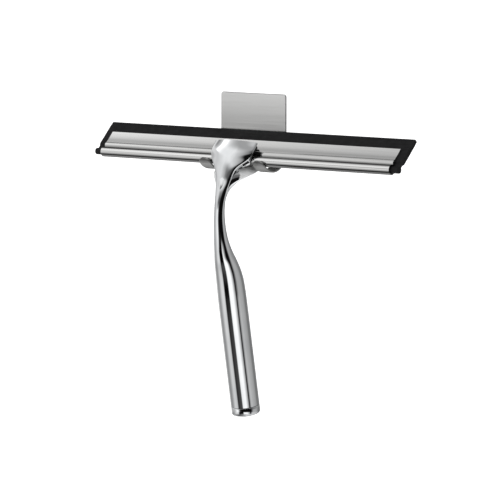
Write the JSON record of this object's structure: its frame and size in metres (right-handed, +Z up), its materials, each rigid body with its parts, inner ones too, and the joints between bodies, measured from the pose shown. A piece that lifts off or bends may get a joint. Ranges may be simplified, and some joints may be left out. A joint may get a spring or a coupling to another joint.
{
  "type": "window cleaning squeegee",
  "caption": "Chrome hand squeegee with a rubber blade in a folded steel channel, hung by its bead on an adhesive wall hook.",
  "frame": {"origin": "middle of the adhesive pad's back face, which sticks to the wall", "axes": "+X along the blade, +Y into the wall, +Z up"},
  "size_m": [0.25, 0.0391, 0.2064],
  "materials": {
    "chrome": "polished chrome plating",
    "bright_steel": "bright rolled stainless sheet",
    "brushed_steel": "brushed along the width",
    "zinc_steel": "plain machined steel",
    "black_rubber": "extruded, satin",
    "seal_rubber": "moulded, matt",
    "foam_tape": "closed-cell foam"
  },
  "bodies": {
    "wall_hook": {"hook_plate": "brushed_steel", "adhesive_pad": "foam_tape"},
    "squeegee": {"handle_body": "chrome", "clamp_screw": "zinc_steel", "end_cap": "chrome", "cap_seal": "seal_rubber"},
    "blade_holder": {"blade_channel": "bright_steel"},
    "rubber": {"rubber_blade": "black_rubber"}
  },
  "joints": [
    {"name": "squeegee_lift", "type": "slide", "parent": "wall_hook", "child": "squeegee", "axis": [0, 0, 1], "range_m": [0, 0.06]},
    {"name": "channel_shift", "type": "slide", "parent": "squeegee", "child": "blade_holder", "axis": [1, 0, 0], "range_m": [-0.09, 0.08]},
    {"name": "rubber_draw", "type": "slide", "parent": "blade_holder", "child": "rubber", "axis": [1, 0, 0], "range_m": [0, 0.22]}
  ]
}
